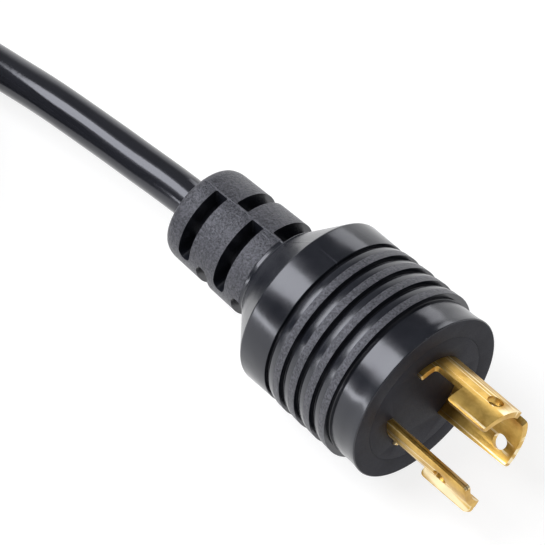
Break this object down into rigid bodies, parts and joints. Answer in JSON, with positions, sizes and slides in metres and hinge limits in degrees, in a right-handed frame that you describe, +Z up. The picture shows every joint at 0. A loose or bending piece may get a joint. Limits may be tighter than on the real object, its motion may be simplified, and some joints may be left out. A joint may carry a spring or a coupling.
{
  "type": "shore power cord",
  "caption": "Moulded locking plug with curved blades, ribbed grip and slotted strain relief, on a round lead that is folded into a strapped hank and ends in a locking connector",
  "frame": {"origin": "on the floor, under the middle of the plug's length from relief to ground blade tip", "axes": "+X along the plug towards the blade tips, +Z up, +Y to the left of someone who looks along +X"},
  "size_m": [0.3607, 0.1324, 0.0728],
  "materials": {
    "black_pvc": "moulded, satin with fine-grained rib crests and strain relief",
    "jacket_pvc": "smooth extruded jacket",
    "insert_plastic": "hard moulded plastic",
    "brass": "bright stamped brass",
    "copper": "bare copper strands",
    "green_core": "core insulation",
    "black_core": "core insulation",
    "strap_fabric": "woven hook-and-loop strap",
    "white_core": "core insulation"
  },
  "bodies": {
    "root": {"plug_overmould": "black_pvc", "plug_blade_carrier": "insert_plastic", "plug_blade_ground": "brass", "plug_blade_line_1": "brass", "plug_blade_line_2": "brass", "plug_core_ground": "green_core", "plug_core_line_1": "black_core", "plug_core_line_2": "white_core", "plug_strands_ground": "copper", "plug_strands_line_1": "copper", "plug_strands_line_2": "copper", "plug_jacket_end": "jacket_pvc", "connector_overmould": "black_pvc", "connector_entry_face": "insert_plastic", "connector_contact_housing": "insert_plastic", "connector_contact_ground": "brass", "connector_contact_line_1": "brass", "connector_contact_line_2": "brass", "connector_core_ground": "green_core", "connector_core_line_1": "black_core", "connector_core_line_2": "white_core", "connector_strands_ground": "copper", "connector_strands_line_1": "copper", "connector_strands_line_2": "copper", "connector_jacket_end": "jacket_pvc", "cord_run": "jacket_pvc", "cord_hank": "jacket_pvc", "cord_tail": "jacket_pvc", "cord_strap": "strap_fabric"}
  },
  "joints": []
}
